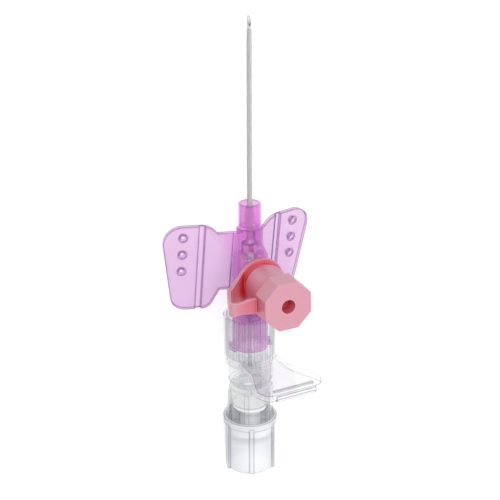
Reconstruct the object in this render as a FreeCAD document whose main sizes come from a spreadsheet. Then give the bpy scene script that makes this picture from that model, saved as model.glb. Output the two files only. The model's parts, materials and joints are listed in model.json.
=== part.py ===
import FreeCAD, Part

import math
import os
from types import SimpleNamespace

import Sketcher
from FreeCAD import Vector

# Ported intravenous cannula, lying as it comes to rest on its wings and its stopper.
# Every piece is drawn in the port frame: the origin is where the cannula axis crosses the axis of the port,
# +Y runs to the needle point, +Z up the port and +X across the wings. One placement lays all of them down.

SIZES = {
    # Needle and catheter tube
    "needle_play": 0.03,
    "needle_wall": 0.13,
    "needle_reach": 2.45,
    "needle_bevel_length": 2.3,
    "needle_tail": 1.0,
    "catheter_radius": 0.55,
    "catheter_wall": 0.14,
    "catheter_length": 33.0,
    "catheter_tip_radius": 0.46,
    "catheter_taper_length": 3.2,
    "catheter_flare": 0.49,
    "tube_fit": 0.02,
    # Wedge that pins the flared tube end
    "wedge_radius": 1.45,
    "wedge_cone_length": 0.75,
    "wedge_collar_length": 1.9,
    "wedge_play": 0.04,
    "wedge_funnel_radius": 1.1,
    "wedge_funnel_length": 1.0,
    # Catheter hub along its axis, from the rim of the nose backwards
    "nose_front": 14.15,
    "nose_radius": 2.13,
    "nose_length": 4.95,
    "nose_rim_chamfer": 0.15,
    "nose_core_radius": 1.75,
    "nose_core_depth": 4.55,
    "nose_boss_radius": 0.85,
    "nose_boss_root_radius": 1.0,
    "nose_boss_recess": 0.75,
    "nose_boss_root_length": 2.2,
    "shoulder_radius": 2.52,
    "shoulder_length": 3.2,
    "shoulder_edge_radius": 0.2,
    "waist_radius": 2.65,
    "waist_length": 0.8,
    "cone_length": 1.6,
    "cone_edge_radius": 0.8,
    "barrel_radius": 3.45,
    "tube_seat_depth": 6.95,
    "flare_seat_length": 1.0,
    "wedge_seat_length": 2.0,
    "cavity_radius": 2.05,
    "clip_room_length": 4.4,
    "cavity_ledge_length": 0.6,
    "luer_mouth_radius": 2.15,
    "luer_depth": 7.2,
    "luer_taper": 0.06,
    "lug_radius": 4.2,
    "lug_length": 0.9,
    "lug_angle": 46.0,
    "key_centre": -0.75,
    "key_half_width": 1.2,
    "key_height": 4.0,
    "key_gap": 0.1,
    "key_length": 1.0,
    # Injection port
    "port_radius": 3.0,
    "port_bore_radius": 2.1,
    "port_top": 12.9,
    "port_rim_chamfer": 0.25,
    "valve_wall": 0.53,
    "valve_half_length": 3.2,
    # Wings and the pedestal that joins them to the hub
    "wing_height": 3.97,
    "wing_pitch": 9.9,
    "wing_droop": 11.6,
    "wing_thickness": 0.75,
    "wing_front": 9.05,
    "wing_rear": 9.6,
    "wing_span": 14.63,
    "wing_slant": 9.1,
    "wing_front_radius": 3.7,
    "wing_rear_radius": 3.2,
    "wing_front_run": 1.4,
    "wing_rear_run": 1.95,
    "wing_inner_front_radius": 4.0,
    "wing_inner_rear_radius": 2.1,
    "wing_root_front": 5.0,
    "wing_root_rear": 3.95,
    "neck_front": 7.25,
    "neck_rear": 5.46,
    "pedestal_half_width": 2.0,
    "flex_groove_inner": 7.45,
    "flex_groove_width": 1.15,
    "flex_groove_depth": 0.45,
    "hole_row": 11.63,
    "hole_middle": 2.94,
    "hole_spacing": 3.7,
    "hole_radius": 0.5,
    "hole_ring_radius": 0.85,
    "hole_ring_height": 0.2,
    # Port cap: ring, neck, sleeve, arm and strap
    "cap_turn": 2.0,
    "cap_fit": 0.06,
    "ring_radius": 4.7,
    "ring_gap": 0.17,
    "ring_height": 1.6,
    "ring_under_radius": 1.1,
    "ring_edge_radius": 0.2,
    "cap_neck_wall": 0.5,
    "cap_neck_height": 1.78,
    "sleeve_radius": 4.22,
    "sleeve_top_gap": 0.25,
    "arm_thickness": 0.75,
    "arm_root_half_width": 3.2,
    "arm_root_rise": 0.83,
    "arm_knee": 7.3,
    "arm_knee_height": 4.1,
    "arm_end": 10.25,
    "strap_half_width": 1.4,
    "strap_waist_half_width": 1.12,
    "strap_waist_radius": 5.0,
    "strap_waist": 8.0,
    "strap_thickness": 0.62,
    "strap_corner_radius": 1.0,
    # Port cap lid
    "lid_gap": 0.15,
    "lid_half_width": 4.75,
    "lid_height": 3.77,
    "lid_draft": 2.5,
    "lid_edge_radius": 0.18,
    "lid_hole_radius": 1.37,
    "lid_hole_depth": 2.9,
    "lid_plug_fit": 0.15,
    "lid_plug_length": 0.8,
    "lid_plug_tip_inset": 0.4,
    "lid_plug_tip_length": 0.9,
    "hinge_gap": 0.1,
    # Safety clip
    "clip_sheet": 0.2,
    "clip_half_width": 1.2,
    "clip_half_height": 1.35,
    "clip_hole_play": 0.07,
    "clip_ridge_gap": 0.2,
    "clip_root_length": 1.5,
    "clip_root_drop": 0.15,
    "clip_arm_length": 1.8,
    "clip_arm_inner": 0.5,
    "clip_hook_play": 0.04,
    "clip_hook_height": 0.68,
    # Needle hub
    "needle_hub_turn": 5.0,
    "needle_fit": 0.01,
    "luer_fit": 0.06,
    "cone_bore_radius": 1.3,
    "cone_bore_length": 4.8,
    "collar_fit": 0.22,
    "collar_wall": 0.7,
    "collar_length": 8.42,
    "flute_count": 24,
    "flute_width": 0.5,
    "flute_depth": 0.2,
    "plate_gap": 1.62,
    "plate_thickness": 1.25,
    "grip_root_half_width": 4.0,
    "grip_waist_half_width": 4.15,
    "grip_waist_height": 8.4,
    "grip_wide_half_width": 6.9,
    "grip_wide_height": 14.8,
    "grip_top_half_width": 5.6,
    "grip_crown_height": 2.8,
    "grip_blend_radius": 8.0,
    "grip_wide_radius": 1.8,
    "grip_top_radius": 1.8,
    "grip_ridge_half_width": 4.2,
    "grip_ridge_width": 0.5,
    "grip_ridge_height": 0.3,
    "grip_ridge_setback": 1.4,
    "grip_lip_half_width": 4.2,
    "grip_lip_reach": 0.15,
    "grip_lip_height": 1.05,
    "grip_lip_drop": 0.35,
    "neck_radius": 4.4,
    "neck_wall": 0.5,
    "neck_length": 4.13,
    "neck_chamfer": 0.35,
    "spigot_radius": 2.25,
    "spigot_length": 6.0,
    "spigot_bore_radius": 1.4,
    "needle_seat_length": 1.3,
    # Flash chamber
    "chamber_turn": 27.0,
    "chamber_gap": 0.2,
    "chamber_length": 10.9,
    "chamber_radius": 4.2,
    "chamber_rim_step": 0.1,
    "chamber_rim_inner_radius": 3.2,
    "chamber_rim_length": 1.2,
    "chamber_rim_depth": 1.0,
    "chamber_socket_wall": 0.48,
    "chamber_socket_recess": 0.2,
    "chamber_front_wall": 0.75,
    "chamber_wall": 0.55,
    "chamber_step": 0.35,
    "chamber_step_length": 0.9,
    "chamber_web": 0.7,
    "chamber_tube_radius": 3.0,
    "chamber_tube_length": 5.0,
    "rib_count": 6,
    "rib_width": 0.9,
    "rib_height": 0.42,
    "rib_setback": 0.4,
    "filter_thickness": 0.5,
    # Stopper
    "stopper_rib_lean": 21.0,
    "stopper_gap": 0.1,
    "stopper_fit": 0.08,
    "stopper_cone_fit": 0.03,
    "stopper_flange_step": 0.33,
    "stopper_flange_length": 1.35,
    "stopper_collar_depth": 3.2,
    "stopper_length": 11.1,
    "stopper_wall": 0.27,
    "stopper_rim_chamfer": 0.35,
    "stopper_core_radius": 4.0,
    "stopper_core_depth": 6.4,
    "stopper_cone_length": 4.4,
    "stopper_bore_radius": 1.1,
    "stopper_bore_depth": 4.8,
    "stopper_rib_height": 0.37,
    "stopper_rib_setback": 0.4,
}

OVERCUT = 0.5
LID_SIDES = 8
CANNULA_AXIS = "0; 1; 0"
PORT_AXIS = "0; 0; 1"


class Size:
    """A number worked out from the sheet, kept together with the expression that gives it."""

    def __init__(self, value, text):
        self.value = value
        self.text = text

    def __add__(self, other):
        other = as_size(other)
        return Size(self.value + other.value, "(%s + %s)" % (self.text, other.text))

    def __radd__(self, other):
        return as_size(other) + self

    def __sub__(self, other):
        other = as_size(other)
        return Size(self.value - other.value, "(%s - %s)" % (self.text, other.text))

    def __rsub__(self, other):
        return as_size(other) - self

    def __mul__(self, other):
        other = as_size(other)
        return Size(self.value * other.value, "(%s * %s)" % (self.text, other.text))

    def __rmul__(self, other):
        return as_size(other) * self

    def __truediv__(self, other):
        other = as_size(other)
        return Size(self.value / other.value, "(%s / %s)" % (self.text, other.text))

    def __neg__(self):
        return Size(-self.value, "(0 - %s)" % self.text)


def as_size(number):
    if isinstance(number, Size):
        return number
    return Size(float(number), "(0 - %r)" % -float(number) if number < 0 else "%r" % float(number))


def sine(angle):
    return Size(math.sin(math.radians(angle.value)), "sin(%s)" % angle.text)


def cosine(angle):
    return Size(math.cos(math.radians(angle.value)), "cos(%s)" % angle.text)


def tangent(angle):
    return Size(math.tan(math.radians(angle.value)), "tan(%s)" % angle.text)


def arc_tangent(ratio):
    return Size(math.degrees(math.atan(ratio.value)), "(atan(%s) / 1deg)" % ratio.text)


def fill_sheet(document, numbers):
    """Write the driving dimensions into a sheet and return them by name."""
    sheet = document.addObject("Spreadsheet::Sheet", "Sizes")
    sizes = {}
    for row, (alias, number) in enumerate(numbers.items(), start=1):
        sheet.set("A%d" % row, alias)
        sheet.set("B%d" % row, str(number))
        sheet.setAlias("B%d" % row, alias)
        sizes[alias] = Size(float(number), "Sizes." + alias)
    document.recompute()
    return SimpleNamespace(**sizes)


document = FreeCAD.newDocument("iv_cannula")
size = fill_sheet(document, SIZES)

# Stations along the cannula axis, front to rear
needle_point = size.nose_front + size.catheter_length + size.needle_reach
catheter_tip = size.nose_front + size.catheter_length
shoulder_front = size.nose_front - size.nose_length
waist_front = shoulder_front - size.shoulder_length
cone_front = waist_front - size.waist_length
barrel_front = cone_front - size.cone_length
flare_seat_front = size.nose_front - size.tube_seat_depth
flare_seat_rear = flare_seat_front - size.flare_seat_length
wedge_seat_rear = flare_seat_rear - size.wedge_seat_length
valve_rear = -size.valve_half_length
cavity_rear = valve_rear - size.clip_room_length
luer_bottom = cavity_rear - size.cavity_ledge_length
hub_rear = luer_bottom - size.luer_depth
plate_front = hub_rear - size.plate_gap
plate_rear = plate_front - size.plate_thickness
neck_end = plate_rear - size.neck_length
spigot_end = plate_rear - size.spigot_length
needle_rear = plate_rear - size.needle_seat_length - size.needle_tail
chamber_front = neck_end - size.chamber_gap
chamber_rear = chamber_front - size.chamber_length
filter_seat = chamber_rear + size.chamber_tube_length
stopper_floor = chamber_rear - size.stopper_gap
flange_front = stopper_floor + size.stopper_collar_depth
stopper_rear = flange_front - size.stopper_length
collar_front = plate_front + size.collar_length

# Radii that pieces share
needle_radius = size.catheter_radius - size.catheter_wall - size.needle_play
rib_radius = size.chamber_radius + size.rib_height
stopper_inner = rib_radius + size.stopper_fit
stopper_outer = stopper_inner + size.stopper_wall
stopper_rib_radius = stopper_outer + size.stopper_rib_height

# Heights up the port axis
sleeve_top = size.port_top + size.sleeve_top_gap
lid_bottom = sleeve_top + size.lid_gap
lid_top = lid_bottom + size.lid_height
strap_bottom = lid_bottom
strap_top = strap_bottom + size.strap_thickness
ring_bottom = size.barrel_radius + size.ring_gap
ring_top = ring_bottom + size.ring_height
sleeve_bottom = ring_top + size.cap_neck_height
grip_top = size.grip_wide_height + size.grip_crown_height

# Taper of the Luer cones as radius for each millimetre of length
luer_slope = size.luer_taper / 2


def luer_radius(depth):
    """Radius of the Luer socket at a depth behind its mouth."""
    return size.luer_mouth_radius - luer_slope * depth


def rest_tilt():
    """Angle by which the needle point lifts when the wings' rear corners and a stopper rib touch down."""
    corner_half_angle = 45 + size.wing_slant / 2
    arc_u = wing_edge(-size.wing_rear) - size.wing_rear_radius / tangent(corner_half_angle)
    arc_v = -size.wing_rear + size.wing_rear_radius
    rib_y, rib_z = stopper_contact()
    tilt = as_size(0)
    for _ in range(2):
        fall_u = sine(size.wing_droop) * cosine(size.wing_pitch + tilt)
        fall_v = sine(size.wing_pitch + tilt)
        heading = arc_tangent(fall_v / fall_u)
        touch_u = arc_u + size.wing_rear_radius * cosine(heading)
        touch_v = arc_v - size.wing_rear_radius * sine(heading)
        y, z = wing_point(touch_u, touch_v)
        tilt = arc_tangent((rib_z - z) / (y - rib_y))
    return tilt


def stopper_contact():
    """Port-frame y and z of the rear corner of the stopper's lowest rib."""
    y = stopper_rear + size.stopper_rib_setback
    across = size.rib_width / 2 * sine(size.stopper_rib_lean)
    return y, -(stopper_rib_radius * cosine(size.stopper_rib_lean) + across)


def wing_edge(v):
    """Distance of the wing's slanting outer edge at chord position v."""
    return size.wing_span + v * tangent(size.wing_slant)


def wing_point(u, v):
    """Port-frame y and z of a point on the underside of the wing."""
    depth = size.wing_thickness * cosine(size.wing_droop) + u * sine(size.wing_droop)
    y = v * cosine(size.wing_pitch) + depth * sine(size.wing_pitch)
    z = v * sine(size.wing_pitch) - depth * cosine(size.wing_pitch) - size.wing_height
    return y, z


def rest_shift(tilt):
    """Move along Y and Z that centres the laid-down cannula and brings the stopper's rib to the ground."""
    rim_radius = stopper_outer - size.stopper_rim_chamfer
    rib_y, rib_z = stopper_contact()
    rise = -(rib_y * sine(tilt) + rib_z * cosine(tilt))
    front = needle_point * cosine(tilt) + needle_radius * sine(tilt)
    rear = stopper_rear * cosine(tilt) - rim_radius * sine(tilt)
    return -(front + rear) / 2, rise


TILT = rest_tilt()
SHIFT_Y, SHIFT_Z = rest_shift(TILT)


def new_body(name, turn=None, about=CANNULA_AXIS):
    """Start a piece, laid down with the rest and, where a turn is given, turned about that axis."""
    body = document.addObject("PartDesign::Body", name)
    body.Label = name
    lean = "rotation(vector(1; 0; 0); %s)" % TILT.text
    if turn is not None:
        lean += " * rotation(vector(%s); %s)" % (about, turn.text)
    body.setExpression("Placement", "placement(vector(0; %s; %s); %s)" % (SHIFT_Y.text, SHIFT_Z.text, lean))
    return body


def origin_feature(body, role):
    return next(feature for feature in body.Origin.OriginFeatures if feature.Role == role)


def new_sketch(body, name, plane, height=None):
    """Sketch on one of the body's origin planes, or on a datum plane, moved along its normal by height."""
    sketch = body.newObject("Sketcher::SketchObject", name)
    support = origin_feature(body, plane) if isinstance(plane, str) else plane
    sketch.AttachmentSupport = (support, [""])
    sketch.MapMode = "FlatFace"
    if height is not None:
        sketch.setExpression("AttachmentOffset.Base.z", as_size(height).text)
    return sketch


def fix_point(sketch, geometry, vertex, u, v):
    """Hold a vertex at u, v by two dimensions bound to the sheet."""
    for kind, distance in (("DistanceX", as_size(u)), ("DistanceY", as_size(v))):
        index = sketch.addConstraint(Sketcher.Constraint(kind, -1, 1, geometry, vertex, distance.value))
        sketch.setExpression("Constraints[%d]" % index, distance.text)


def fix_radius(sketch, geometry, radius):
    radius = as_size(radius)
    index = sketch.addConstraint(Sketcher.Constraint("Radius", geometry, radius.value))
    sketch.setExpression("Constraints[%d]" % index, radius.text)


def direction(start, end):
    return (end - start).normalize()


def round_corner(before, corner, after, radius):
    """Where the arc of a rounded corner starts and ends, and its centre."""
    back = direction(corner, before)
    ahead = direction(corner, after)
    half_angle = back.getAngle(ahead) / 2
    reach = radius / math.tan(half_angle)
    centre = corner + (back + ahead).normalize() * (radius / math.sin(half_angle))
    return corner + back * reach, corner + ahead * reach, centre


def draw_outline(sketch, corners):
    """Closed outline through corners (u, v) or (u, v, radius), the last form with a tangent arc."""
    count = len(corners)
    points = [Vector(as_size(corner[0]).value, as_size(corner[1]).value, 0) for corner in corners]
    rounds = {}
    starts = list(points)
    ends = list(points)
    for index, corner in enumerate(corners):
        if len(corner) == 3:
            radius = as_size(corner[2]).value
            arc = round_corner(points[index - 1], points[index], points[(index + 1) % count], radius)
            ends[index], starts[index], rounds[index] = arc
    lines = []
    for index in range(count):
        line = Part.LineSegment(starts[index], ends[(index + 1) % count])
        lines.append(sketch.addGeometry(line, False))
    for index, corner in enumerate(corners):
        before = lines[index - 1]
        after = lines[index]
        if index in rounds:
            arc = (rounds[index], ends[index], starts[index])
            join_round(sketch, before, after, points[index], arc, corner)
        else:
            sketch.addConstraint(Sketcher.Constraint("Coincident", before, 2, after, 1))
            fix_point(sketch, after, 1, corner[0], corner[1])


def join_round(sketch, before, after, point, arc, corner):
    """Arc between two lines, from its centre, start and end, with its sharp corner kept as a point."""
    centre, first, last = arc
    turns_left = (point - first).cross(last - point).z > 0
    low, high = (first, last) if turns_left else (last, first)
    start_angle = math.atan2(low.y - centre.y, low.x - centre.x)
    end_angle = math.atan2(high.y - centre.y, high.x - centre.x)
    circle = Part.Circle(centre, Vector(0, 0, 1), (first - centre).Length)
    bend = sketch.addGeometry(Part.ArcOfCircle(circle, start_angle, end_angle), False)
    mark = sketch.addGeometry(Part.Point(point), True)
    before_vertex, after_vertex = (1, 2) if turns_left else (2, 1)
    sketch.addConstraint(Sketcher.Constraint("Tangent", before, 2, bend, before_vertex))
    sketch.addConstraint(Sketcher.Constraint("Tangent", after, 1, bend, after_vertex))
    sketch.addConstraint(Sketcher.Constraint("PointOnObject", mark, 1, before))
    sketch.addConstraint(Sketcher.Constraint("PointOnObject", mark, 1, after))
    fix_point(sketch, mark, 1, corner[0], corner[1])
    fix_radius(sketch, bend, corner[2])


def draw_circle(sketch, u, v, radius):
    centre = Vector(as_size(u).value, as_size(v).value, 0)
    circle = sketch.addGeometry(Part.Circle(centre, Vector(0, 0, 1), as_size(radius).value), False)
    fix_point(sketch, circle, 3, u, v)
    fix_radius(sketch, circle, radius)


def box_corners(left, right, low, high):
    return [(left, low), (right, low), (right, high), (left, high)]


def finish(body, feature, removes=False):
    """Make a feature the body's tip and see that it added or removed material."""
    volume = body.Shape.Volume if not body.Shape.isNull() else 0.0
    body.Tip = feature
    document.recompute()
    change = body.Shape.Volume - volume
    if change * (-1 if removes else 1) <= 0:
        raise RuntimeError("%s of %s changed nothing" % (feature.Name, body.Name))
    return feature


def revolve(body, name, corners, plane="XY_Plane", angle=None):
    """Turn a half section about the sketch's upright axis, by 360 degrees or by an angle either side."""
    sketch = new_sketch(body, name + "_section", plane)
    draw_outline(sketch, corners)
    feature = body.newObject("PartDesign::Revolution", name)
    feature.Profile = sketch
    feature.ReferenceAxis = (sketch, ["V_Axis"])
    if angle is not None:
        feature.Midplane = True
        feature.setExpression("Angle", angle.text)
    return finish(body, feature)


def groove(body, name, corners, plane="XY_Plane"):
    sketch = new_sketch(body, name + "_section", plane)
    draw_outline(sketch, corners)
    feature = body.newObject("PartDesign::Groove", name)
    feature.Profile = sketch
    feature.ReferenceAxis = (sketch, ["V_Axis"])
    return finish(body, feature, removes=True)


def pad(body, name, sketch, length, symmetric=False, backwards=False, draft=None):
    feature = body.newObject("PartDesign::Pad", name)
    feature.Profile = sketch
    feature.setExpression("Length", as_size(length).text)
    feature.SideType = "Symmetric" if symmetric else "One side"
    feature.Reversed = backwards
    if draft is not None:
        feature.setExpression("TaperAngle", (-draft).text)
    return finish(body, feature)


def pocket(body, name, sketch, length, symmetric=False, backwards=False):
    feature = body.newObject("PartDesign::Pocket", name)
    feature.Profile = sketch
    feature.setExpression("Length", as_size(length).text)
    feature.SideType = "Symmetric" if symmetric else "One side"
    feature.Reversed = backwards
    return finish(body, feature, removes=True)


def mirror(body, name, originals, plane, removes=False):
    feature = body.newObject("PartDesign::Mirrored", name)
    feature.Originals = originals
    feature.MirrorPlane = (origin_feature(body, plane), [""])
    return finish(body, feature, removes)


def repeat_round(body, name, originals, count, removes=False):
    """Repeat features about the cannula axis."""
    feature = body.newObject("PartDesign::PolarPattern", name)
    feature.Originals = originals
    feature.Axis = (origin_feature(body, "Y_Axis"), [""])
    feature.Angle = 360
    feature.setExpression("Occurrences", as_size(count).text)
    return finish(body, feature, removes)


def make_catheter_tube():
    """Thin tube, drawn down at its tip and flared at its rear end inside the nose."""
    body = new_body("catheter_tube")
    bore = size.catheter_radius - size.catheter_wall
    revolve(body, "tube", [
        (bore, catheter_tip),
        (bore, flare_seat_front),
        (bore + size.catheter_flare, flare_seat_rear),
        (size.catheter_radius + size.catheter_flare, flare_seat_rear),
        (size.catheter_radius, flare_seat_front),
        (size.catheter_radius, catheter_tip - size.catheter_taper_length),
        (size.catheter_tip_radius, catheter_tip),
    ])
    return body


def make_catheter_wedge():
    """Steel funnel whose front cone holds the flared tube end against the hub."""
    body = new_body("catheter_wedge")
    cone_radius = size.catheter_radius + size.catheter_flare - size.catheter_wall - size.tube_fit
    cone_slope = size.catheter_flare / size.flare_seat_length
    bore = needle_radius + size.wedge_play
    front = flare_seat_rear - size.tube_fit
    rear = front - size.wedge_collar_length
    cone_tip_radius = cone_radius - cone_slope * size.wedge_cone_length
    revolve(body, "funnel", [
        (bore, flare_seat_rear + size.wedge_cone_length),
        (bore, rear + size.wedge_funnel_length),
        (size.wedge_funnel_radius, rear),
        (size.wedge_radius, rear),
        (size.wedge_radius, front),
        (cone_radius, front),
        (cone_radius, flare_seat_rear),
        (cone_tip_radius, flare_seat_rear + size.wedge_cone_length),
    ])
    return body


def wing_plane(body):
    """Datum plane of the wings' top at their middle, leaning back by the pitch."""
    plane = body.newObject("PartDesign::Plane", "wing_pitch_plane")
    plane.AttachmentSupport = (origin_feature(body, "XY_Plane"), [""])
    plane.MapMode = "FlatFace"
    plane.AttachmentOffset = FreeCAD.Placement(Vector(0, 0, 0), FreeCAD.Rotation(Vector(1, 0, 0), 1))
    plane.setExpression("AttachmentOffset.Rotation.Angle", size.wing_pitch.text)
    plane.setExpression("AttachmentOffset.Base.z", (-size.wing_height).text)
    return plane


def wing_sketch(body, name, plane, height=0):
    """Sketch on the top of the right wing, which droops from the pitch plane, raised by height."""
    sketch = new_sketch(body, name, plane)
    sketch.AttachmentOffset = FreeCAD.Placement(Vector(0, 0, 0), FreeCAD.Rotation(Vector(0, 1, 0), 1))
    sketch.setExpression("AttachmentOffset.Rotation.Angle", size.wing_droop.text)
    sketch.setExpression("AttachmentOffset.Base.x", (height * sine(size.wing_droop)).text)
    sketch.setExpression("AttachmentOffset.Base.z", (height * cosine(size.wing_droop)).text)
    return sketch


def add_wings(body):
    """Two drooping wings with rounded corners, a flex groove and a row of ringed holes each."""
    plane = wing_plane(body)
    blade_sketch = wing_sketch(body, "wing_outline", plane)
    draw_outline(blade_sketch, [
        (0, size.neck_front),
        (0, -size.neck_rear),
        (size.wing_root_rear, -size.neck_rear),
        (size.wing_root_rear + size.wing_rear_run, -size.wing_rear, size.wing_inner_rear_radius),
        (wing_edge(-size.wing_rear), -size.wing_rear, size.wing_rear_radius),
        (wing_edge(size.wing_front), size.wing_front, size.wing_front_radius),
        (size.wing_root_front + size.wing_front_run, size.wing_front, size.wing_inner_front_radius),
        (size.wing_root_front, size.neck_front),
    ])
    blade = pad(body, "wing_blade", blade_sketch, size.wing_thickness, backwards=True)
    holes = [size.hole_middle + step * size.hole_spacing for step in (-1, 0, 1)]
    ring_sketch = wing_sketch(body, "hole_rings", plane, size.hole_ring_height)
    for v in holes:
        draw_circle(ring_sketch, size.hole_row, v, size.hole_ring_radius)
    ring_length = size.hole_ring_height + size.wing_thickness / 2
    rings = pad(body, "wing_hole_rings", ring_sketch, ring_length, backwards=True)
    mirror(body, "left_wing", [blade, rings], "YZ_Plane")
    flex_sketch = wing_sketch(body, "flex_groove_outline", plane, OVERCUT)
    flex_outer = size.flex_groove_inner + size.flex_groove_width
    front = size.wing_front + OVERCUT
    rear = -size.wing_rear - OVERCUT
    draw_outline(flex_sketch, box_corners(size.flex_groove_inner, flex_outer, rear, front))
    flex = pocket(body, "flex_groove", flex_sketch, size.flex_groove_depth + OVERCUT)
    hole_sketch = wing_sketch(body, "hole_circles", plane, OVERCUT)
    for v in holes:
        draw_circle(hole_sketch, size.hole_row, v, size.hole_radius)
    drill = pocket(body, "wing_holes", hole_sketch, size.wing_thickness + 2 * OVERCUT)
    mirror(body, "left_wing_cuts", [flex, drill], "YZ_Plane", removes=True)


def add_pedestal(body):
    """Block under the barrel that carries the wings, its foot parallel to them."""
    sink = size.wing_thickness / 2

    def foot(y):
        return y * tangent(size.wing_pitch) - size.wing_height - sink

    sketch = new_sketch(body, "pedestal_side", "YZ_Plane")
    draw_outline(sketch, [
        (-size.neck_rear, foot(-size.neck_rear)),
        (size.neck_front, foot(size.neck_front)),
        (size.neck_front, -size.cavity_radius),
        (-size.neck_rear, -size.cavity_radius),
    ])
    pad(body, "pedestal", sketch, 2 * size.pedestal_half_width, symmetric=True)


def make_catheter_hub():
    """Violet moulding: nose, shoulder, barrel, port tube, wings, key tab and Luer lugs."""
    body = new_body("catheter_hub")
    revolve(body, "barrel", [
        (0, size.nose_front),
        (size.nose_radius - size.nose_rim_chamfer, size.nose_front),
        (size.nose_radius, size.nose_front - size.nose_rim_chamfer),
        (size.nose_radius, shoulder_front),
        (size.shoulder_radius, shoulder_front, size.shoulder_edge_radius),
        (size.shoulder_radius, waist_front),
        (size.waist_radius, cone_front),
        (size.barrel_radius, barrel_front, size.cone_edge_radius),
        (size.barrel_radius, hub_rear),
        (0, hub_rear),
    ])
    revolve(body, "port_tube", [
        (0, 0),
        (size.port_radius, 0),
        (size.port_radius, size.port_top - size.port_rim_chamfer),
        (size.port_radius - size.port_rim_chamfer, size.port_top),
        (0, size.port_top),
    ], plane="XZ_Plane")
    add_pedestal(body)
    add_wings(body)
    key_sketch = new_sketch(body, "key_outline", "XY_Plane", size.cavity_radius + OVERCUT)
    key_rear = collar_front + size.key_gap
    key_front = key_rear + size.key_length
    key_left = size.key_centre - size.key_half_width
    key_right = size.key_centre + size.key_half_width
    draw_outline(key_sketch, box_corners(key_left, key_right, key_rear, key_front))
    pad(body, "key_tab", key_sketch, size.key_height - size.cavity_radius - OVERCUT)
    lug_root = size.barrel_radius - OVERCUT
    lug_corners = box_corners(lug_root, size.lug_radius, hub_rear, hub_rear + size.lug_length)
    lug = revolve(body, "luer_lug", lug_corners, angle=size.lug_angle)
    mirror(body, "second_luer_lug", [lug], "YZ_Plane")
    seat_radius = size.catheter_radius + size.tube_fit
    boss_front = size.nose_front - size.nose_boss_recess
    boss_step = size.nose_front - size.nose_core_depth + size.nose_boss_root_length
    core_floor = size.nose_front - size.nose_core_depth
    groove(body, "bore", [
        (0, size.nose_front + OVERCUT),
        (size.nose_core_radius, size.nose_front + OVERCUT),
        (size.nose_core_radius, core_floor),
        (size.nose_boss_root_radius, core_floor),
        (size.nose_boss_root_radius, boss_step),
        (size.nose_boss_radius, boss_step),
        (size.nose_boss_radius, boss_front),
        (seat_radius, boss_front),
        (seat_radius, flare_seat_front),
        (seat_radius + size.catheter_flare, flare_seat_rear),
        (size.wedge_radius + size.tube_fit, flare_seat_rear),
        (size.wedge_radius + size.tube_fit, wedge_seat_rear),
        (size.cavity_radius, wedge_seat_rear),
        (size.cavity_radius, cavity_rear),
        (luer_radius(size.luer_depth), cavity_rear),
        (luer_radius(size.luer_depth), luer_bottom),
        (size.luer_mouth_radius, hub_rear),
        (size.luer_mouth_radius, hub_rear - OVERCUT),
        (0, hub_rear - OVERCUT),
    ])
    groove(body, "port_bore", [
        (0, 0),
        (size.port_bore_radius, 0),
        (size.port_bore_radius, size.port_top + OVERCUT),
        (0, size.port_top + OVERCUT),
    ], plane="XZ_Plane")
    return body


def make_port_valve_sleeve():
    """Silicone sleeve that lines the bore across the foot of the port."""
    body = new_body("port_valve_sleeve")
    outer = size.cavity_radius - size.tube_fit
    length = size.valve_half_length
    revolve(body, "sleeve", box_corners(outer - size.valve_wall, outer, -length, length))
    return body


def make_port_cap_base():
    """Ring, neck and sleeve round the port, with the arm that rises beside them and the strap."""
    body = new_body("port_cap_base", turn=size.cap_turn, about=PORT_AXIS)
    bore = size.port_radius + size.cap_fit
    neck = bore + size.cap_neck_wall
    knee_z = ring_bottom + size.arm_knee_height
    root_x = -(bore + size.cap_neck_wall / 2)
    root_sketch = new_sketch(body, "arm_root_side", "XZ_Plane")
    draw_outline(root_sketch, [
        (root_x, ring_bottom + size.arm_root_rise),
        (-size.arm_knee - size.arm_thickness, knee_z),
        (-size.arm_knee, knee_z + size.arm_thickness),
        (root_x, ring_top),
    ])
    pad(body, "arm_root", root_sketch, 2 * size.arm_root_half_width, symmetric=True)
    taper_sketch = new_sketch(body, "arm_taper", "XY_Plane", knee_z + size.arm_thickness + OVERCUT)
    far = size.arm_end + size.arm_thickness
    wide = size.arm_root_half_width + OVERCUT
    for side in (-1, 1):
        draw_outline(taper_sketch, [
            (root_x, side * size.arm_root_half_width),
            (-size.arm_knee, side * size.strap_half_width),
            (-far, side * size.strap_half_width),
            (-far, side * wide),
            (root_x, side * wide),
        ])
    pocket(body, "arm_taper_cut", taper_sketch, size.arm_knee_height + size.arm_thickness + 2 * OVERCUT)
    revolve(body, "ring_and_sleeve", [
        (bore, ring_bottom),
        (size.ring_radius, ring_bottom, size.ring_under_radius),
        (size.ring_radius, ring_top, size.ring_edge_radius),
        (neck, ring_top),
        (neck, sleeve_bottom),
        (size.sleeve_radius, sleeve_bottom),
        (size.sleeve_radius, sleeve_top),
        (bore, sleeve_top),
    ], plane="XZ_Plane")
    strap_sketch = new_sketch(body, "strap_side", "XZ_Plane")
    strap_end = -(size.lid_half_width + size.hinge_gap)
    draw_outline(strap_sketch, [
        (-size.arm_knee - size.arm_thickness, knee_z),
        (-size.arm_knee, knee_z),
        (-size.arm_end + size.arm_thickness, strap_bottom),
        (strap_end, strap_bottom),
        (strap_end, strap_top),
        (-size.arm_end, strap_top, size.strap_corner_radius),
    ])
    pad(body, "riser_and_strap", strap_sketch, 2 * size.strap_half_width, symmetric=True)
    waist_sketch = new_sketch(body, "strap_waist_circles", "XY_Plane", strap_top + OVERCUT)
    waist_v = size.strap_waist_half_width + size.strap_waist_radius
    for side in (-1, 1):
        draw_circle(waist_sketch, -size.strap_waist, side * waist_v, size.strap_waist_radius)
    pocket(body, "strap_waist", waist_sketch, size.strap_thickness + OVERCUT)
    return body


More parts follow.
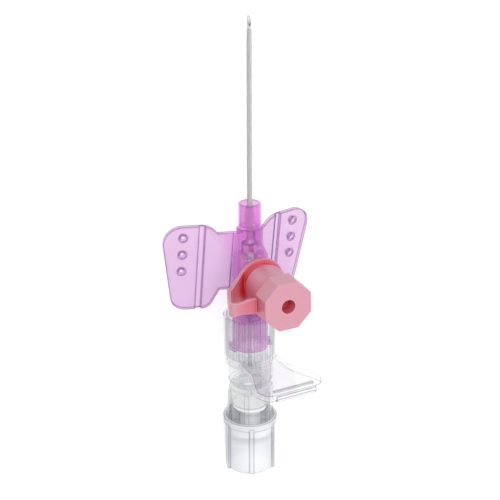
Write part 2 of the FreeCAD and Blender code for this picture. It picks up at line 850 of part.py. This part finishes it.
def make_port_cap_lid():
    """Octagonal lid with drafted flats, a blind hole in its face and a stepped plug below."""
    body = new_body("port_cap_lid", turn=size.cap_turn, about=PORT_AXIS)
    sketch = new_sketch(body, "octagon", "XY_Plane", lid_bottom)
    half = size.lid_half_width
    short = half * tangent(as_size(180) / LID_SIDES)
    draw_outline(sketch, [
        (half, -short), (half, short), (short, half), (-short, half),
        (-half, short), (-half, -short), (-short, -half), (short, -half),
    ])
    cap = pad(body, "cap", sketch, size.lid_height, draft=size.lid_draft)
    fillet = body.newObject("PartDesign::Fillet", "face_edges")
    fillet.Base = (cap, top_edges(cap, lid_top.value))
    fillet.setExpression("Radius", size.lid_edge_radius.text)
    finish(body, fillet, removes=True)
    plug_end = lid_bottom - size.lid_plug_length
    plug_tip = plug_end - size.lid_plug_tip_length
    plug_radius = size.port_bore_radius - size.lid_plug_fit
    revolve(body, "plug", [
        (0, plug_tip),
        (plug_radius - size.lid_plug_tip_inset, plug_tip),
        (plug_radius, plug_end),
        (plug_radius, lid_bottom + OVERCUT),
        (0, lid_bottom + OVERCUT),
    ], plane="XZ_Plane")
    hole_sketch = new_sketch(body, "face_hole_circle", "XY_Plane", lid_top)
    draw_circle(hole_sketch, 0, 0, size.lid_hole_radius)
    pocket(body, "face_hole", hole_sketch, size.lid_hole_depth)
    return body


def top_edges(feature, height):
    """Names of a feature's edges that lie at a height in the port frame."""
    names = []
    for index, edge in enumerate(feature.Shape.Edges, start=1):
        if all(abs(vertex.Z - height) < 1e-6 for vertex in edge.Vertexes):
            names.append("Edge%d" % index)
    return names


def make_safety_clip():
    """Sprung sheet clip: a pierced base plate and two arms that cross beside the needle to hooked ends."""
    body = new_body("safety_clip")
    base_rear = cavity_rear + size.clip_ridge_gap
    base_front = base_rear + size.clip_sheet
    root_front = base_rear + size.clip_root_length
    hook_rear = root_front + size.clip_arm_length
    base_sketch = new_sketch(body, "base_outline", "XZ_Plane", -base_front)
    width = size.clip_half_width
    height = size.clip_half_height
    draw_outline(base_sketch, box_corners(-width, width, -height, height))
    draw_circle(base_sketch, 0, 0, needle_radius + size.clip_hole_play)
    pad(body, "base_plate", base_sketch, size.clip_sheet)
    sheet_height = size.clip_sheet
    root_drop = size.clip_root_drop
    root_sketch = new_sketch(body, "root_side", "YZ_Plane")
    draw_outline(root_sketch, [
        (base_rear, height),
        (base_rear, height - sheet_height),
        (root_front, height - sheet_height - root_drop),
        (root_front, height - root_drop),
    ])
    root = pad(body, "arm_root", root_sketch, 2 * width, symmetric=True)
    hook_near = needle_radius + size.clip_hook_play
    hook_far = hook_near + size.clip_hook_height
    arm_sketch = new_sketch(body, "arm_side", "YZ_Plane", size.clip_arm_inner)
    draw_outline(arm_sketch, [
        (root_front - sheet_height, height - root_drop),
        (root_front - sheet_height, height - sheet_height - root_drop),
        (hook_rear, -hook_far),
        (hook_rear + sheet_height, -hook_far),
        (hook_rear + sheet_height, -hook_far + sheet_height),
        (root_front, height - root_drop),
    ])
    arm = pad(body, "crossing_arm", arm_sketch, width - size.clip_arm_inner)
    hook_sketch = new_sketch(body, "hook_outline", "XZ_Plane", -(hook_rear + sheet_height))
    draw_outline(hook_sketch, box_corners(-width, width, -hook_far, -hook_near))
    hook = pad(body, "hook", hook_sketch, size.clip_sheet)
    repeat_round(body, "second_arm", [root, arm, hook], 2)
    return body


def make_needle():
    """Hollow needle with its point ground to a bevel that faces up."""
    body = new_body("needle")
    bore = needle_radius - size.needle_wall
    revolve(body, "shaft", box_corners(bore, needle_radius, needle_rear, needle_point))
    sketch = new_sketch(body, "bevel_side", "YZ_Plane")
    bevel_rear = needle_point - size.needle_bevel_length
    draw_outline(sketch, [
        (bevel_rear, needle_radius),
        (needle_point, -needle_radius),
        (needle_point + OVERCUT, -needle_radius),
        (needle_point + OVERCUT, needle_radius + OVERCUT),
        (bevel_rear, needle_radius + OVERCUT),
    ])
    pocket(body, "bevel", sketch, 2 * needle_radius + OVERCUT, symmetric=True)
    return body


def add_grip_plate(body):
    """Upright plate that the finger pushes, with a ridge on its face and a lip under its far edge."""
    sketch = new_sketch(body, "grip_outline", "XZ_Plane", -plate_front)
    half = [
        (size.grip_root_half_width, size.spigot_radius),
        (size.grip_waist_half_width, size.grip_waist_height, size.grip_blend_radius),
        (size.grip_wide_half_width, size.grip_wide_height, size.grip_wide_radius),
        (size.grip_top_half_width, grip_top, size.grip_top_radius),
    ]
    draw_outline(sketch, half + [(-corner[0],) + corner[1:] for corner in reversed(half)])
    pad(body, "grip_plate", sketch, size.plate_thickness)
    ridge_face = plate_front + size.grip_ridge_height
    ridge_sketch = new_sketch(body, "grip_ridge_outline", "XZ_Plane", -ridge_face)
    ridge_top = grip_top - size.grip_ridge_setback + size.grip_ridge_width
    ridge = size.grip_ridge_half_width
    ridge_bottom = ridge_top - size.grip_ridge_width
    draw_outline(ridge_sketch, box_corners(-ridge, ridge, ridge_bottom, ridge_top))
    pad(body, "grip_ridge", ridge_sketch, size.grip_ridge_height + size.plate_thickness / 2)
    lip_sketch = new_sketch(body, "grip_lip_outline", "XZ_Plane", -(plate_front - size.grip_lip_drop))
    lip = size.grip_lip_half_width
    lip_top = grip_top + size.grip_lip_reach
    draw_outline(lip_sketch, box_corners(-lip, lip, grip_top - OVERCUT, lip_top))
    pad(body, "grip_lip", lip_sketch, size.grip_lip_height)


def make_needle_hub():
    """Clear moulding: hollow Luer cone, fluted collar, grip plate, neck shell and spigot."""
    body = new_body("needle_hub", turn=size.needle_hub_turn)
    needle_hole = needle_radius + size.needle_fit
    cone_rear_radius = luer_radius(-size.plate_gap) - size.luer_fit
    cone_front_radius = luer_radius(size.luer_depth) - size.luer_fit
    collar_inner = size.lug_radius + size.collar_fit
    collar_outer = collar_inner + size.collar_wall
    bore_rear = luer_bottom - size.cone_bore_length
    seat_rear = plate_rear - size.needle_seat_length
    neck_inner = size.neck_radius - size.neck_wall
    revolve(body, "moulding", [
        (needle_hole, bore_rear),
        (size.cone_bore_radius, bore_rear),
        (size.cone_bore_radius, luer_bottom),
        (cone_front_radius, luer_bottom),
        (cone_rear_radius, plate_front),
        (collar_inner, plate_front),
        (collar_inner, collar_front),
        (collar_outer, collar_front),
        (collar_outer, plate_rear),
        (size.neck_radius, plate_rear),
        (size.neck_radius, neck_end + size.neck_chamfer),
        (size.neck_radius - size.neck_chamfer, neck_end),
        (neck_inner, neck_end),
        (neck_inner, plate_rear),
        (size.spigot_radius, plate_rear),
        (size.spigot_radius, spigot_end),
        (size.spigot_bore_radius, spigot_end),
        (size.spigot_bore_radius, seat_rear),
        (needle_hole, seat_rear),
    ])
    add_grip_plate(body)
    flute_sketch = new_sketch(body, "flute_outline", "XZ_Plane", -(collar_front + OVERCUT))
    flute = size.flute_width / 2
    flute_top = collar_inner + size.flute_depth
    draw_outline(flute_sketch, box_corners(-flute, flute, collar_inner - OVERCUT, flute_top))
    cut = pocket(body, "flute", flute_sketch, size.collar_length + OVERCUT, backwards=True)
    repeat_round(body, "flutes", [cut], size.flute_count, removes=True)
    return body


def make_flash_chamber():
    """Clear ribbed chamber: socket for the spigot in front, cavity, ledge and Luer tube behind."""
    body = new_body("flash_chamber", turn=size.chamber_turn)
    socket = size.spigot_radius + size.tube_fit
    inner = size.chamber_radius - size.chamber_wall
    rim_floor = chamber_front - size.chamber_rim_depth
    socket_front = chamber_front - size.chamber_socket_recess
    shoulder = chamber_front - size.chamber_rim_length
    cavity_front = shoulder - size.chamber_front_wall
    step_front = filter_seat + size.chamber_step_length
    web_rear = filter_seat - size.chamber_web
    shoulder_end = shoulder - size.chamber_rim_step
    rim_radius = size.chamber_radius - size.chamber_rim_step
    revolve(body, "shell", [
        (socket, socket_front),
        (socket + size.chamber_socket_wall, socket_front),
        (socket + size.chamber_socket_wall, rim_floor),
        (size.chamber_rim_inner_radius, rim_floor),
        (size.chamber_rim_inner_radius, chamber_front),
        (rim_radius, chamber_front),
        (rim_radius, shoulder),
        (size.chamber_radius, shoulder_end),
        (size.chamber_radius, chamber_rear),
        (inner, chamber_rear),
        (inner, web_rear),
        (size.chamber_tube_radius, web_rear),
        (size.chamber_tube_radius, chamber_rear),
        (size.luer_mouth_radius, chamber_rear),
        (luer_radius(size.chamber_tube_length), filter_seat),
        (inner - size.chamber_step, filter_seat),
        (inner - size.chamber_step, step_front),
        (inner, step_front),
        (inner, cavity_front),
        (socket, cavity_front),
    ])
    rib_sketch = new_sketch(body, "rib_outline", "XZ_Plane", -(shoulder_end - size.rib_setback))
    rib_root = size.chamber_radius - size.chamber_wall / 2
    rib = size.rib_width / 2
    draw_outline(rib_sketch, box_corners(-rib, rib, rib_root, rib_radius))
    length = shoulder_end - size.rib_setback - chamber_rear
    first = pad(body, "rib", rib_sketch, length)
    repeat_round(body, "ribs", [first], size.rib_count)
    return body


def make_vent_filter():
    """Porous disc that lies on the chamber's ledge and lets air out."""
    body = new_body("vent_filter")
    radius = size.chamber_radius - size.chamber_wall - size.chamber_step - size.tube_fit
    revolve(body, "disc", box_corners(0, radius, filter_seat, filter_seat + size.filter_thickness))
    return body


def make_stopper_cap():
    """White Luer-lock stopper: ribbed grip, flange and collar round the chamber, cone in its tube."""
    body = new_body("stopper_cap", turn=180 - size.stopper_rib_lean)
    cone_front = stopper_floor + size.stopper_cone_length
    cone_base = luer_radius(-size.stopper_gap) - size.stopper_cone_fit
    cone_tip = luer_radius(size.stopper_cone_length - size.stopper_gap) - size.stopper_cone_fit
    flange_rear = flange_front - size.stopper_flange_length
    flange_radius = stopper_outer + size.stopper_flange_step
    core_floor = stopper_rear + size.stopper_core_depth
    revolve(body, "moulding", [
        (0, cone_front - size.stopper_bore_depth),
        (size.stopper_bore_radius, cone_front - size.stopper_bore_depth),
        (size.stopper_bore_radius, cone_front),
        (cone_tip, cone_front),
        (cone_base, stopper_floor),
        (stopper_inner, stopper_floor),
        (stopper_inner, flange_front),
        (flange_radius, flange_front),
        (flange_radius, flange_rear),
        (stopper_outer, flange_rear),
        (stopper_outer, stopper_rear + size.stopper_rim_chamfer),
        (stopper_outer - size.stopper_rim_chamfer, stopper_rear),
        (size.stopper_core_radius, stopper_rear),
        (size.stopper_core_radius, core_floor),
        (0, core_floor),
    ])
    rib_sketch = new_sketch(body, "rib_outline", "XZ_Plane", -(flange_rear + OVERCUT))
    rib_root = (size.stopper_core_radius + stopper_outer) / 2
    rib = size.rib_width / 2
    draw_outline(rib_sketch, box_corners(-rib, rib, rib_root, stopper_rib_radius))
    length = flange_rear + OVERCUT - stopper_rear - size.stopper_rib_setback
    first = pad(body, "rib", rib_sketch, length)
    repeat_round(body, "ribs", [first], size.rib_count)
    return body


def check_document(bodies):
    """Stop if any object failed to recompute or a piece has no valid solid."""
    for item in document.Objects:
        if {"Invalid", "Error"} & set(item.State):
            raise RuntimeError("%s failed: %s" % (item.Name, item.State))
    for body in bodies:
        shape = body.Shape
        if shape.isNull() or not shape.isValid() or len(shape.Solids) != 1:
            raise RuntimeError("%s is not one valid solid" % body.Label)


bodies = [
    make_catheter_tube(),
    make_catheter_wedge(),
    make_catheter_hub(),
    make_port_valve_sleeve(),
    make_port_cap_base(),
    make_port_cap_lid(),
    make_safety_clip(),
    make_needle(),
    make_needle_hub(),
    make_flash_chamber(),
    make_vent_filter(),
    make_stopper_cap(),
]
document.recompute()
check_document(bodies)
os.makedirs("parts", exist_ok=True)
for body in bodies:
    body.Shape.exportStep("parts/%s.step" % body.Label)
    print("%s: %.2f mm3" % (body.Label, body.Shape.Volume))
print("rest tilt %.4f degrees, shift %.4f, %.4f mm" % (TILT.value, SHIFT_Y.value, SHIFT_Z.value))
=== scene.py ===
import json
import math

import bpy
from mathutils import Matrix, Vector

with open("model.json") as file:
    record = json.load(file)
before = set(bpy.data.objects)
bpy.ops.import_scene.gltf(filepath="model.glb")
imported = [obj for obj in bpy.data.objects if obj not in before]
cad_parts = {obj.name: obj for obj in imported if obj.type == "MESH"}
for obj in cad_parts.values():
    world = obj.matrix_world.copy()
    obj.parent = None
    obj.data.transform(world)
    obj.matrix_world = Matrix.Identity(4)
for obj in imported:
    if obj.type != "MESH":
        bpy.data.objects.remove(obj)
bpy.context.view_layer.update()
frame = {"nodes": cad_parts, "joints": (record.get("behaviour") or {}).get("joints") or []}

# Ported intravenous cannula on a white table, seen from above its left front quarter.
# Lengths are in metres. The port frame has its origin where the cannula axis crosses the axis of the port,
# +Y to the needle point and +Z up the port; the laid-down model leans, so places are turned by its lean.

MM = 0.001

# Hinge of the port cap in the port frame, in millimetres, before the cap's turn round the port.
CAP_HINGE = (-4.8, 0, 13.9)
CAP_TURN = math.radians(2.0)

# Bands in the model's own coordinates over which one look passes into another: across the hub's flank,
# down to the wings under the hub, and up from the needle hub's collar to its grip plate.
HUB_FLANK = (3.3 * MM, 3.9 * MM)
WING_LEVEL = (5.6 * MM, 6.4 * MM)
PLATE_FOOT = (13.8 * MM, 15.2 * MM)

# Dot product of rounded and true normal above which a place doesn't count as an edge.
FLAT_DOT = 0.995
BEVEL_SAMPLES = 6

# Camera solved from the photograph, in the port frame: turn, lift and roll of the view in degrees, depth of
# the frame's origin along the view, focal length in pixels of the picture, and the pixel of that origin.
CAMERA_TURN = 24.15
CAMERA_LIFT = 22.77
CAMERA_ROLL = -0.15
CAMERA_DISTANCE = 277.62 * MM
FOCAL_PIXELS = 1463.87
PICTURE_PIXELS = 500
ORIGIN_PIXEL = (249.76, 272.31)

TABLE_HALF_WIDTH = 0.6
TABLE_GAP = 0.02 * MM
TABLE_GLOW = 0.42


def joint(name):
    return next(item for item in frame["joints"] if item["name"] == name)


def port_frame():
    """Matrix from the port frame to the laid-down model, read from the joints."""
    forward = -Vector(joint("needle_slide")["axis"])
    across = Vector((1, 0, 0))
    up = across.cross(forward)
    hinge = Vector(joint("port_cap_flip")["pos_m"])
    hinge_in_port = Matrix.Rotation(CAP_TURN, 3, "Z") @ Vector(CAP_HINGE) * MM
    turn = Matrix((across, forward, up)).transposed()
    return Matrix.Translation(hinge - turn @ hinge_in_port) @ turn.to_4x4()


# Nodes

def set_values(node, **values):
    """Set sockets by name; an underscore in the keyword stands for a space."""
    for key, value in values.items():
        node.inputs[key.replace("_", " ")].default_value = value


def give(tree, socket, value):
    """Give a socket a number, a colour or another node's output."""
    if isinstance(value, bpy.types.NodeSocket):
        tree.links.new(value, socket)
    elif isinstance(value, tuple):
        socket.default_value = (*value, 1)
    else:
        socket.default_value = value


def calculate(tree, operation, *values):
    """One arithmetic step on values that are each a number or another node's output."""
    node = tree.nodes.new("ShaderNodeMath")
    node.operation = operation
    for socket, value in zip(node.inputs, values):
        give(tree, socket, value)
    return node.outputs["Value"]


def map_range(tree, value, start, end, low=0.0, high=1.0, smooth=False):
    """Map the range start to end onto low to high, easing into both ends where smooth."""
    ramp = tree.nodes.new("ShaderNodeMapRange")
    if smooth:
        ramp.interpolation_type = "SMOOTHSTEP"
    set_values(ramp, From_Min=start, From_Max=end, To_Min=low, To_Max=high)
    tree.links.new(value, ramp.inputs["Value"])
    return ramp.outputs["Result"]


def between(tree, factor, low, high):
    """Map a 0 to 1 factor to the range low to high."""
    return map_range(tree, factor, 0.0, 1.0, low, high)


def mix_colours(tree, factor, first, second, blend="MIX"):
    """Mix two colours; they and the factor are each a value or another node's output."""
    mix = tree.nodes.new("ShaderNodeMix")
    mix.data_type = "RGBA"
    mix.blend_type = blend
    give(tree, mix.inputs["Factor"], factor)
    give(tree, mix.inputs["A"], first)
    give(tree, mix.inputs["B"], second)
    return mix.outputs["Result"]


def noise(tree, scale, detail=3.0):
    """Noise in the model's own coordinates, so it stays put from every side."""
    place = tree.nodes.new("ShaderNodeTexCoord")
    texture = tree.nodes.new("ShaderNodeTexNoise")
    set_values(texture, Scale=scale, Detail=detail)
    tree.links.new(place.outputs["Object"], texture.inputs["Vector"])
    return texture.outputs["Fac"]


def mottled(tree, scale, first, second):
    """Colour that wanders between two shades."""
    return mix_colours(tree, noise(tree, scale), first, second)


def uneven(tree, scale, low, high):
    """Value that wanders between low and high."""
    return between(tree, noise(tree, scale), low, high)


def coordinate(tree, source, axis):
    """One coordinate of the place or the direction that is shaded."""
    place = tree.nodes.new("ShaderNodeTexCoord")
    split = tree.nodes.new("ShaderNodeSeparateXYZ")
    tree.links.new(place.outputs[source], split.inputs["Vector"])
    return split.outputs[axis]


def along(tree, axis, band):
    """0 before a band along an axis of the model and 1 beyond it, the same on both sides."""
    side = calculate(tree, "ABSOLUTE", coordinate(tree, "Object", axis))
    return map_range(tree, side, *band, smooth=True)


def edges(tree, radius, full=0.10):
    """1 along the moulding's sharp edges and 0 a radius away from them.

    The two normals' dot product has to fall by full before the edge counts as 1.
    """
    rounded = tree.nodes.new("ShaderNodeBevel")
    rounded.samples = BEVEL_SAMPLES
    set_values(rounded, Radius=radius)
    surface = tree.nodes.new("ShaderNodeNewGeometry")
    agree = tree.nodes.new("ShaderNodeVectorMath")
    agree.operation = "DOT_PRODUCT"
    tree.links.new(rounded.outputs["Normal"], agree.inputs[0])
    tree.links.new(surface.outputs["Normal"], agree.inputs[1])
    return map_range(tree, agree.outputs["Value"], FLAT_DOT, 1 - full, smooth=True)


def openness(tree, distance):
    """1 on open surfaces and less in nooks narrower than the distance."""
    shade = tree.nodes.new("ShaderNodeAmbientOcclusion")
    set_values(shade, Distance=distance)
    return shade.outputs["AO"]


def seen_directly(tree):
    """1 for the rays that show a background: those of the camera and those through or off the object."""
    path = tree.nodes.new("ShaderNodeLightPath")
    either = calculate(tree, "MAXIMUM", path.outputs["Is Camera Ray"], path.outputs["Is Glossy Ray"])
    return calculate(tree, "MAXIMUM", either, path.outputs["Is Transmission Ray"])


# Materials

def new_material(name):
    """Material, its node tree and the Principled shader that feeds its output."""
    material = bpy.data.materials.new(name)
    material.use_nodes = True
    tree = material.node_tree
    tree.nodes.clear()
    output = tree.nodes.new("ShaderNodeOutputMaterial")
    shader = tree.nodes.new("ShaderNodeBsdfPrincipled")
    tree.links.new(shader.outputs["BSDF"], output.inputs["Surface"])
    return material, tree, shader


def paint(tree, shader, tint, roughness):
    """Give the shader its colour and its roughness."""
    give(tree, shader.inputs["Base Color"], tint)
    give(tree, shader.inputs["Roughness"], roughness)


def bump(tree, shader, height, strength, distance):
    """Fine unevenness of the surface."""
    node = tree.nodes.new("ShaderNodeBump")
    set_values(node, Strength=strength, Distance=distance)
    tree.links.new(height, node.inputs["Height"])
    tree.links.new(node.outputs["Normal"], shader.inputs["Normal"])


def absorb(tree, colour, density):
    """Colour deepens with the thickness that light crosses."""
    volume = tree.nodes.new("ShaderNodeVolumeAbsorption")
    volume.inputs["Color"].default_value = (*colour, 1)
    volume.inputs["Density"].default_value = density
    tree.links.new(volume.outputs["Volume"], tree.nodes["Material Output"].inputs["Volume"])


def let_light_through(tree, shader, tint):
    """Give a see-through shader a pale shadow in place of a black one."""
    path = tree.nodes.new("ShaderNodeLightPath")
    clear = tree.nodes.new("ShaderNodeBsdfTransparent")
    clear.inputs["Color"].default_value = (*tint, 1)
    mix = tree.nodes.new("ShaderNodeMixShader")
    tree.links.new(path.outputs["Is Shadow Ray"], mix.inputs["Fac"])
    tree.links.new(shader.outputs["BSDF"], mix.inputs[1])
    tree.links.new(clear.outputs["BSDF"], mix.inputs[2])
    tree.links.new(mix.outputs["Shader"], tree.nodes["Material Output"].inputs["Surface"])


def violet_plastic():
    """Violet see-through moulding with painted dark shade along its edges, paler on the thin wings."""
    material, tree, shader = new_material("violet_plastic")
    set_values(shader, Transmission_Weight=0.88, IOR=1.05, Coat_Weight=0.7, Coat_Roughness=0.05)
    body = mottled(tree, 180, (0.82, 0.53, 0.80), (0.79, 0.50, 0.77))
    wing = mottled(tree, 140, (0.73, 0.65, 0.74), (0.70, 0.61, 0.71))
    beside = along(tree, "X", HUB_FLANK)
    below = calculate(tree, "SUBTRACT", 1.0, along(tree, "Z", WING_LEVEL))
    on_wing = calculate(tree, "MAXIMUM", beside, below)
    tint = mix_colours(tree, on_wing, body, wing)
    # Painted shade: dark purple multiplied in along the edges, stronger on the wings.
    painted_edge_shade_and_highlight = calculate(tree, "MULTIPLY", edges(tree, 0.5 * MM, full=0.07), between(tree, on_wing, 0.5, 1.0))
    tint = mix_colours(tree, painted_edge_shade_and_highlight, tint, (0.24, 0.05, 0.27), "MULTIPLY")
    paint(tree, shader, tint, uneven(tree, 900, 0.05, 0.14))
    bump(tree, shader, noise(tree, 400), strength=0.03, distance=0.05 * MM)
    absorb(tree, (0.786, 0.10, 0.764), density=200.0)
    let_light_through(tree, shader, (0.95, 0.90, 0.96))
    return material


def clear_plastic():
    """Clear moulding of needle hub and flash chamber, with painted grey shade along its edges, most of all on
    the grip plate.
    """
    material, tree, shader = new_material("clear_plastic")
    set_values(shader, Transmission_Weight=0.97, IOR=1.02, Coat_Weight=1.0, Coat_Roughness=0.03)
    tint = mottled(tree, 150, (0.94, 0.945, 0.955), (0.925, 0.93, 0.94))
    on_plate = along(tree, "Z", PLATE_FOOT)
    # Painted shade: dark grey multiplied in along the edges, strongest on the grip plate.
    painted_edge_shade_and_highlight = edges(tree, 0.32 * MM, full=0.08)
    painted_edge_shade_and_highlight = calculate(tree, "MULTIPLY", painted_edge_shade_and_highlight, between(tree, on_plate, 0.48, 1.0))
    tint = mix_colours(tree, painted_edge_shade_and_highlight, tint, (0.20, 0.20, 0.21), "MULTIPLY")
    paint(tree, shader, tint, uneven(tree, 800, 0.02, 0.06))
    bump(tree, shader, noise(tree, 350), strength=0.02, distance=0.05 * MM)
    absorb(tree, (0.40, 0.40, 0.42), density=75.0)
    let_light_through(tree, shader, (0.95, 0.95, 0.95))
    return material


def stopper_plastic():
    """Milky see-through moulding of the stopper."""
    material, tree, shader = new_material("stopper_plastic")
    set_values(shader, Transmission_Weight=0.48, IOR=1.04, Coat_Weight=0.8, Coat_Roughness=0.08)
    tint = mottled(tree, 160, (0.96, 0.97, 0.985), (0.93, 0.945, 0.97))
    # Painted shade: dark grey multiplied in along the stopper's edges.
    tint = mix_colours(tree, edges(tree, 0.3 * MM), tint, (0.30, 0.31, 0.34), "MULTIPLY")
    paint(tree, shader, tint, uneven(tree, 700, 0.10, 0.20))
    bump(tree, shader, noise(tree, 500), strength=0.05, distance=0.05 * MM)
    absorb(tree, (0.40, 0.42, 0.46), density=260.0)
    let_light_through(tree, shader, (0.94, 0.94, 0.95))
    return material


def pink_plastic():
    """Pink moulding of the port cap, with painted red shade in its nooks and painted pale highlights along
    its edges.
    """
    material, tree, shader = new_material("pink_plastic")
    set_values(shader, Subsurface_Weight=0.15, Subsurface_Scale=0.8 * MM, IOR=1.46)
    # Painted shade: darker, redder pink where the surface is less open, as on the flanks.
    shade = tree.nodes.new("ShaderNodeValToRGB")
    stops = shade.color_ramp.elements
    stops[0].position, stops[0].color = 0.30, (0.66, 0.17, 0.23, 1)
    stops[1].position, stops[1].color = 0.985, (0.672, 0.318, 0.400, 1)
    stops.new(0.92).color = (0.68, 0.195, 0.275, 1)
    tree.links.new(openness(tree, 9.0 * MM), shade.inputs["Fac"])
    # Painted shade: deep red in narrow creases and in the lid's hole.
    painted_crease_shade = map_range(tree, openness(tree, 2.2 * MM), 0.72, 0.34)
    tint = mix_colours(tree, painted_crease_shade, shade.outputs["Color"], (0.70, 0.025, 0.038))
    tint = mix_colours(tree, 1.0, tint, mottled(tree, 120, (1, 1, 1), (0.96, 0.95, 0.95)), "MULTIPLY")
    # Painted highlights: pale pink mixed in along the edges.
    painted_edge_shade_and_highlight = between(tree, edges(tree, 0.2 * MM), 0.0, 0.7)
    tint = mix_colours(tree, painted_edge_shade_and_highlight, tint, (0.95, 0.62, 0.69))
    paint(tree, shader, tint, uneven(tree, 900, 0.28, 0.38))
    bump(tree, shader, noise(tree, 1200), strength=0.08, distance=0.04 * MM)
    return material


def tube_plastic():
    """Thin pale tube through which the needle shows grey."""
    material, tree, shader = new_material("tube_plastic")
    set_values(shader, Transmission_Weight=0.72, IOR=1.1, Coat_Weight=0.4, Coat_Roughness=0.1)
    tint = mottled(tree, 300, (0.74, 0.74, 0.73), (0.69, 0.70, 0.69))
    paint(tree, shader, tint, uneven(tree, 900, 0.16, 0.26))
    let_light_through(tree, shader, (0.85, 0.85, 0.85))
    return material


def steel(name, first, second):
    """Drawn steel, with fine marks along the needle."""
    material, tree, shader = new_material(name)
    set_values(shader, Metallic=1.0)
    shader.inputs["Specular Tint"].default_value = (0.05, 0.05, 0.05, 1)
    place = tree.nodes.new("ShaderNodeTexCoord")
    stretch = tree.nodes.new("ShaderNodeMapping")
    stretch.inputs["Scale"].default_value = (6000, 120, 6000)
    marks = tree.nodes.new("ShaderNodeTexNoise")
    set_values(marks, Scale=1.0, Detail=2.0)
    tree.links.new(place.outputs["Object"], stretch.inputs["Vector"])
    tree.links.new(stretch.outputs["Vector"], marks.inputs["Vector"])
    tint = mix_colours(tree, marks.outputs["Fac"], first, second)
    paint(tree, shader, tint, between(tree, marks.outputs["Fac"], 0.12, 0.24))
    return material


def silicone():
    """Soft pale sleeve."""
    material, tree, shader = new_material("silicone")
    set_values(shader, Subsurface_Weight=0.4, Subsurface_Scale=1 * MM)
    tint = mottled(tree, 200, (0.80, 0.79, 0.77), (0.74, 0.73, 0.72))
    paint(tree, shader, tint, uneven(tree, 600, 0.45, 0.6))
    return material


def filter_felt():
    """Porous sintered disc."""
    material, tree, shader = new_material("filter_felt")
    grains = noise(tree, 3000, detail=5.0)
    paint(tree, shader, mix_colours(tree, grains, (0.70, 0.70, 0.69), (0.88, 0.88, 0.87)), 0.9)
    bump(tree, shader, grains, strength=0.5, distance=0.05 * MM)
    return material


def dress(nodes, material):
    """Give CAD nodes one material all over."""
    for name in nodes:
        mesh = frame["nodes"][name].data
        mesh.materials.clear()
        mesh.materials.append(material)
        for face in mesh.polygons:
            face.material_index = 0


dress(["catheter_hub"], violet_plastic())
dress(["needle_hub", "flash_chamber"], clear_plastic())
dress(["stopper_cap"], stopper_plastic())
dress(["port_cap_base", "port_cap_lid"], pink_plastic())
dress(["catheter_tube"], tube_plastic())
dress(["needle"], steel("needle_steel", (0.58, 0.59, 0.60), (0.68, 0.69, 0.70)))
dress(["safety_clip", "catheter_wedge"], steel("bright_steel", (0.86, 0.86, 0.87), (0.94, 0.94, 0.95)))
dress(["port_valve_sleeve"], silicone())
dress(["vent_filter"], filter_felt())


# Table, light and camera

def add_table():
    """White table top that keeps the object's soft shadow."""
    half = TABLE_HALF_WIDTH
    mesh = bpy.data.meshes.new("table_top")
    corners = [(-half, -half, 0), (half, -half, 0), (half, half, 0), (-half, half, 0)]
    mesh.from_pydata(corners, [], [(0, 1, 2, 3)])
    table = bpy.data.objects.new("table_top", mesh)
    table.location.z = -TABLE_GAP
    bpy.context.scene.collection.objects.link(table)
    material, tree, shader = new_material("table_white")
    paint(tree, shader, mottled(tree, 3, (0.72, 0.72, 0.72), (0.71, 0.71, 0.71)), 0.9)
    set_values(shader, Specular_IOR_Level=0.0)
    shader.inputs["Emission Color"].default_value = (1, 1, 1, 1)
    give(tree, shader.inputs["Emission Strength"], between(tree, seen_directly(tree), 0.0, TABLE_GLOW))
    mesh.materials.append(material)


def add_world():
    """White dome that lights from overhead more than from near the horizon."""
    world = bpy.data.worlds.new("studio")
    bpy.context.scene.world = world
    world.use_nodes = True
    tree = world.node_tree
    background = tree.nodes["Background"]
    background.inputs["Color"].default_value = (1, 1, 1, 1)
    overhead = coordinate(tree, "Generated", "Z")
    light = map_range(tree, overhead, 0.0, 0.6, low=0.15, high=0.85, smooth=True)
    give(tree, background.inputs["Strength"], calculate(tree, "MAXIMUM", light, seen_directly(tree)))


def add_softbox(name, place, width, height, power):
    """Rectangular lamp that points at the model."""
    light = bpy.data.lights.new(name, "AREA")
    light.shape = "RECTANGLE"
    light.size = width
    light.size_y = height
    light.energy = power
    lamp = bpy.data.objects.new(name, light)
    lamp.location = place
    lamp.rotation_mode = "QUATERNION"
    lamp.rotation_quaternion = (-Vector(place)).to_track_quat("-Z", "Y")
    bpy.context.scene.collection.objects.link(lamp)


def add_camera():
    """Camera at the photograph's place, with the picture's centre off the port frame's origin as there."""
    turn = math.radians(CAMERA_TURN)
    lift = math.radians(CAMERA_LIFT)
    roll = math.radians(CAMERA_ROLL)
    back = Vector((-math.sin(turn) * math.cos(lift), math.sin(lift), math.cos(turn) * math.cos(lift)))
    level_right = Vector((math.cos(turn), 0, math.sin(turn)))
    level_up = back.cross(level_right)
    right = level_right * math.cos(roll) + level_up * math.sin(roll)
    up = back.cross(right)
    centre = PICTURE_PIXELS / 2
    shift_right = (ORIGIN_PIXEL[0] - centre) / FOCAL_PIXELS * CAMERA_DISTANCE
    shift_up = (centre - ORIGIN_PIXEL[1]) / FOCAL_PIXELS * CAMERA_DISTANCE
    place = back * CAMERA_DISTANCE - right * shift_right - up * shift_up
    data = bpy.data.cameras.new("camera")
    data.sensor_width = 36.0
    data.lens = FOCAL_PIXELS / PICTURE_PIXELS * data.sensor_width
    data.clip_start = 0.01
    data.clip_end = 5.0
    camera = bpy.data.objects.new("camera", data)
    axes = Matrix((right, up, back)).transposed().to_4x4()
    camera.matrix_world = port_frame() @ Matrix.Translation(place) @ axes
    bpy.context.scene.collection.objects.link(camera)
    bpy.context.scene.camera = camera


add_table()
add_world()
add_softbox("softbox_top", place=(-0.15, 0.25, 0.6), width=0.35, height=0.35, power=1.6)
add_softbox("softbox_right", place=(0.5, -0.1, 0.3), width=0.2, height=0.5, power=0.6)
add_camera()
bpy.context.scene.view_settings.view_transform = "Standard"
